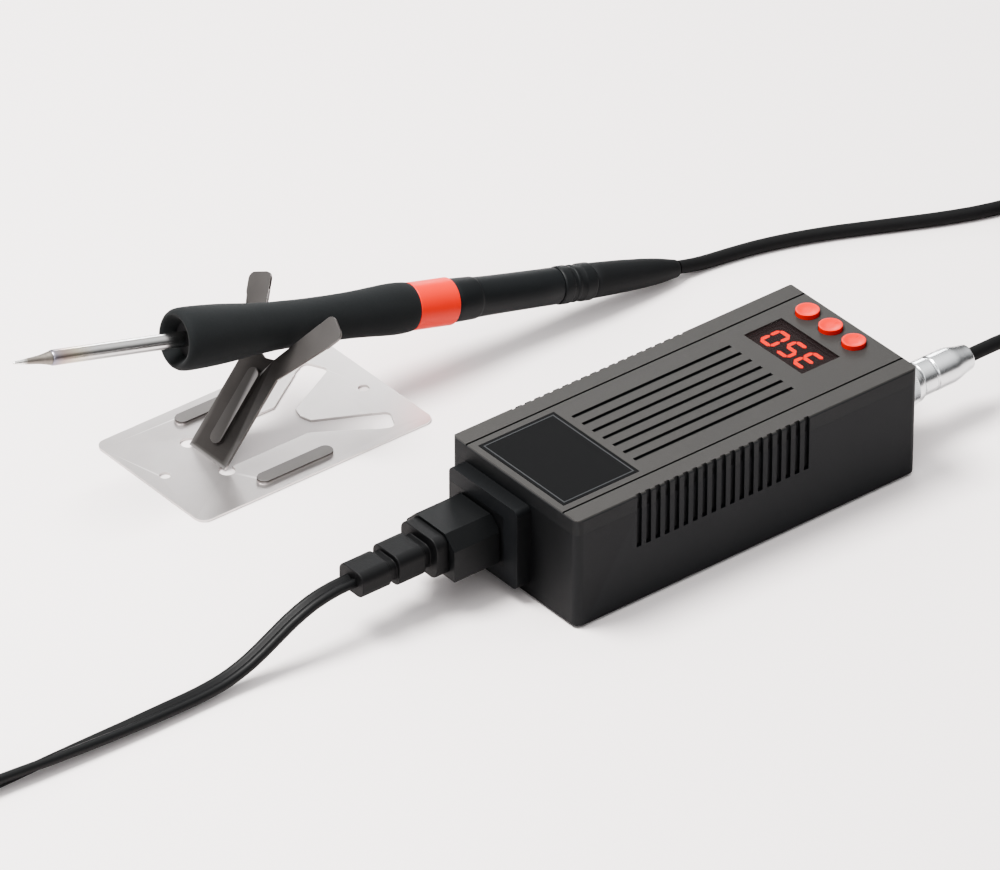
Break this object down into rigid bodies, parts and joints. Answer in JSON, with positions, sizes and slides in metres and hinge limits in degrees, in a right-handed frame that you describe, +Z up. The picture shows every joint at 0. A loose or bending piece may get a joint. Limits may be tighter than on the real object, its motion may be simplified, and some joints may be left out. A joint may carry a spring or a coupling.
{
  "type": "soldering iron station",
  "caption": "Compact soldering station: controller with display and keys, mains lead, cartridge soldering iron on its cable, and a folded sheet-metal fork stand.",
  "frame": {"origin": "under the centre of the controller's underside, on the surface that the controller's feet and the stand rest on", "axes": "+X along the controller from its mains inlet to its output socket, +Y from the controller to the stand, +Z up"},
  "size_m": [0.6663, 0.194, 0.0665],
  "materials": {
    "case_shell": "fine-textured moulded black ABS",
    "case_cover": "satin dark grey moulded ABS",
    "label_black": "semi-gloss black label plate",
    "screw_steel": "zinc-plated",
    "foot_rubber": "matt",
    "display_lens": "smoked red acrylic",
    "display_body": "matt black",
    "led_red": "lit red segments",
    "board_green": "solder mask",
    "chip_black": "moulded package",
    "switch_plastic": "matt",
    "button_red": "satin moulded",
    "ribbon_grey": "flat cable",
    "ferrite": "sintered",
    "winding_tape": "polyester tape",
    "capacitor_sleeve": "shrink sleeve",
    "choke_copper": "enamelled wire",
    "film_yellow": "epoxy box",
    "fuse_glass": "clear glass with plated caps",
    "sink_aluminium": "extruded",
    "inlet_plastic": "moulded nylon",
    "contact_brass": "bright",
    "blade_nickel": "nickel-plated",
    "socket_chrome": "chromed",
    "nut_chrome": "knurled and chromed",
    "connector_pvc": "moulded PVC",
    "mains_cord_pvc": "flat twin PVC cord",
    "hand_cable_rubber": "silicone rubber cable",
    "grip_rubber": "soft-touch",
    "handle_plastic": "satin moulded",
    "ring_red": "satin red",
    "boot_rubber": "soft moulded",
    "carrier_nylon": "natural nylon",
    "tip_iron": "iron-plated copper",
    "tube_steel": "drawn stainless",
    "ceramic_white": "ceramic",
    "stand_steel": "stamped bright sheet"
  },
  "bodies": {
    "base": {"bottom_shell": "case_shell", "top_cover": "case_cover", "label_plate": "label_black", "case_screws": "screw_steel", "rubber_feet": "foot_rubber", "display_window": "display_lens", "display_module": "display_body", "display_segments": "led_red", "control_board": "board_green", "control_chip": "chip_black", "tact_switches": "switch_plastic", "board_screws": "screw_steel", "control_ribbon": "ribbon_grey", "power_board": "board_green", "transformer_core": "ferrite", "transformer_winding": "winding_tape", "electrolytic_capacitors": "capacitor_sleeve", "filter_choke": "choke_copper", "film_capacitor": "film_yellow", "line_fuse": "fuse_glass", "heat_sinks": "sink_aluminium", "power_semiconductors": "chip_black", "mains_inlet": "inlet_plastic", "inlet_blades": "blade_nickel", "output_socket": "socket_chrome", "socket_nut": "screw_steel", "socket_pins": "contact_brass", "plug_insert": "inlet_plastic", "cable_clamp": "screw_steel", "hand_cable_iron": "hand_cable_rubber", "hand_coil": "hand_cable_rubber", "hand_cable_plug": "hand_cable_rubber", "stand": "stand_steel"},
    "minus_key": {"button_minus": "button_red"},
    "plus_key": {"button_plus": "button_red"},
    "set_key": {"button_set": "button_red"},
    "mains_lead": {"mains_connector": "connector_pvc", "connector_contacts": "contact_brass", "mains_strain_relief": "connector_pvc", "mains_cord": "mains_cord_pvc", "mains_coil": "mains_cord_pvc", "mains_plug": "connector_pvc", "mains_plug_pins": "blade_nickel"},
    "nut": {"coupling_nut": "nut_chrome"},
    "shell": {"plug_shell": "socket_chrome"},
    "iron": {"grip_sleeve": "grip_rubber", "nose_insert": "handle_plastic", "handle_core": "handle_plastic", "colour_ring": "ring_red", "rear_handle": "handle_plastic", "rear_collar": "handle_plastic", "cable_boot": "boot_rubber", "contact_carrier": "carrier_nylon", "contact_springs": "contact_brass"},
    "tip": {"tip_point": "tip_iron", "heater_tube": "tube_steel", "cartridge_insulators": "ceramic_white", "cartridge_contacts": "contact_brass"}
  },
  "joints": [
    {"name": "minus_press", "type": "slide", "parent": "base", "child": "minus_key", "axis": [0, 0, -1], "range_m": [0, 0.0006], "stiffness_N_per_m": 1500, "springref_m": -0.0005},
    {"name": "plus_press", "type": "slide", "parent": "base", "child": "plus_key", "axis": [0, 0, -1], "range_m": [0, 0.0006], "stiffness_N_per_m": 1500, "springref_m": -0.0005},
    {"name": "set_press", "type": "slide", "parent": "base", "child": "set_key", "axis": [0, 0, -1], "range_m": [0, 0.0006], "stiffness_N_per_m": 1500, "springref_m": -0.0005},
    {"name": "mains_unplug", "type": "slide", "parent": "base", "child": "mains_lead", "axis": [-1, 0, 0], "range_m": [0, 0.022]},
    {"name": "nut_turn", "type": "hinge", "parent": "base", "child": "nut", "pos_m": [0.0845, -0.014, 0.0215], "axis": [1, 0, 0], "continuous": true},
    {"name": "shell_slide", "type": "slide", "parent": "base", "child": "shell", "axis": [1, 0, 0], "range_m": [0, 0.012]},
    {"name": "iron_lift", "type": "slide", "parent": "base", "child": "iron", "axis": [0, 0, 1], "range_m": [0, 0.08]},
    {"name": "tip_pull", "type": "slide", "parent": "iron", "child": "tip", "axis": [-0.9725, 0.0765, 0.2198], "range_m": [0, 0.095]}
  ]
}
